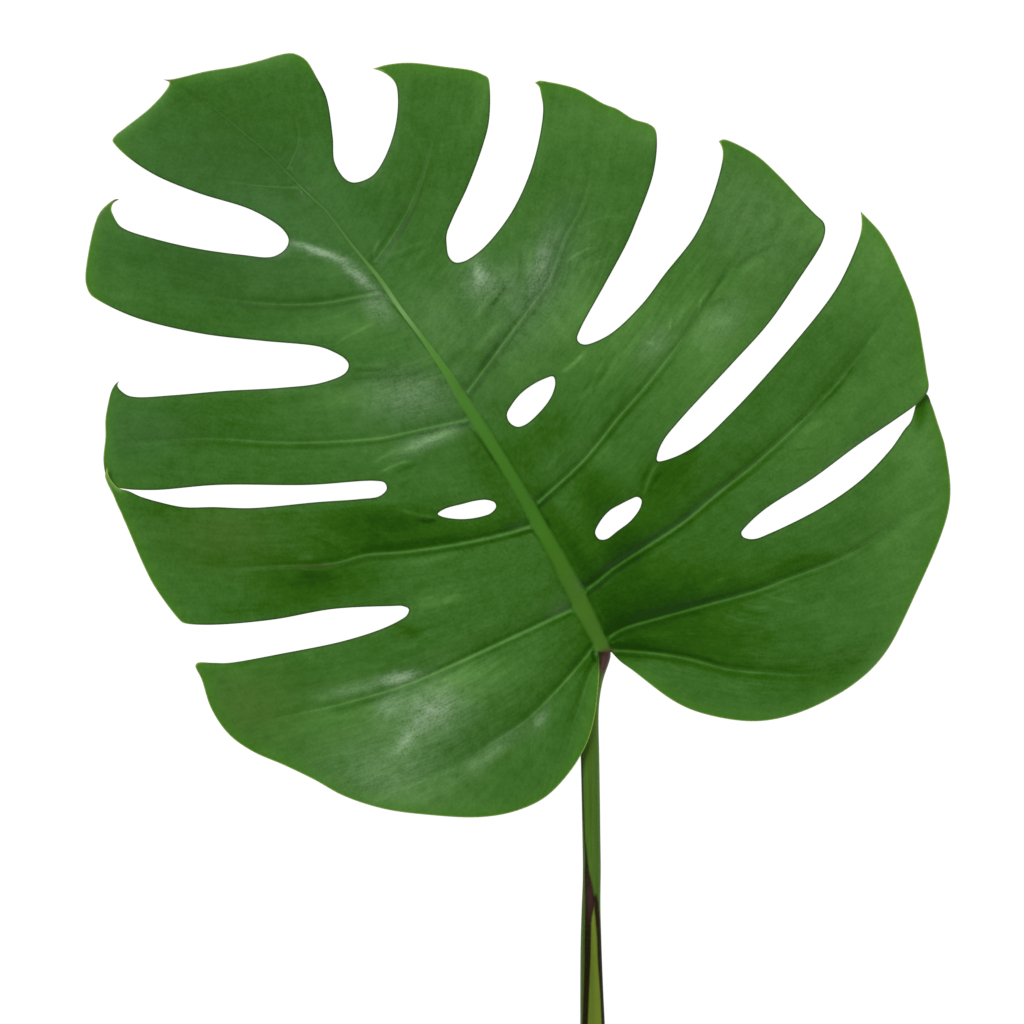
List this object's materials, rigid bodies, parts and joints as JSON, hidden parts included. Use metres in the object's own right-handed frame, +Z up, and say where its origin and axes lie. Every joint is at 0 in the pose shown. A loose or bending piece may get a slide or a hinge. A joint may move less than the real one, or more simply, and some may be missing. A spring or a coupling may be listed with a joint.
{
  "type": "monstera leaf",
  "caption": "Cut split-leaf monstera leaf lying upper face up: a broad glossy blade with deep slits and inner holes, and its round stalk.",
  "frame": {"origin": "on the surface that the leaf lies on, under the middle of the whole leaf", "axes": "+Z up out of the leaf's upper face, +Y from the stalk's cut end towards the blade, +X to the right seen from above"},
  "size_m": [0.433, 0.5286, 0.0168],
  "materials": {
    "leaf_blade": "waxy green leaf, satin",
    "leaf_stalk": "fresh green stalk, satin, with dry brown sheath margins"
  },
  "bodies": {
    "root": {"blade": "leaf_blade", "petiole": "leaf_stalk"}
  },
  "joints": []
}
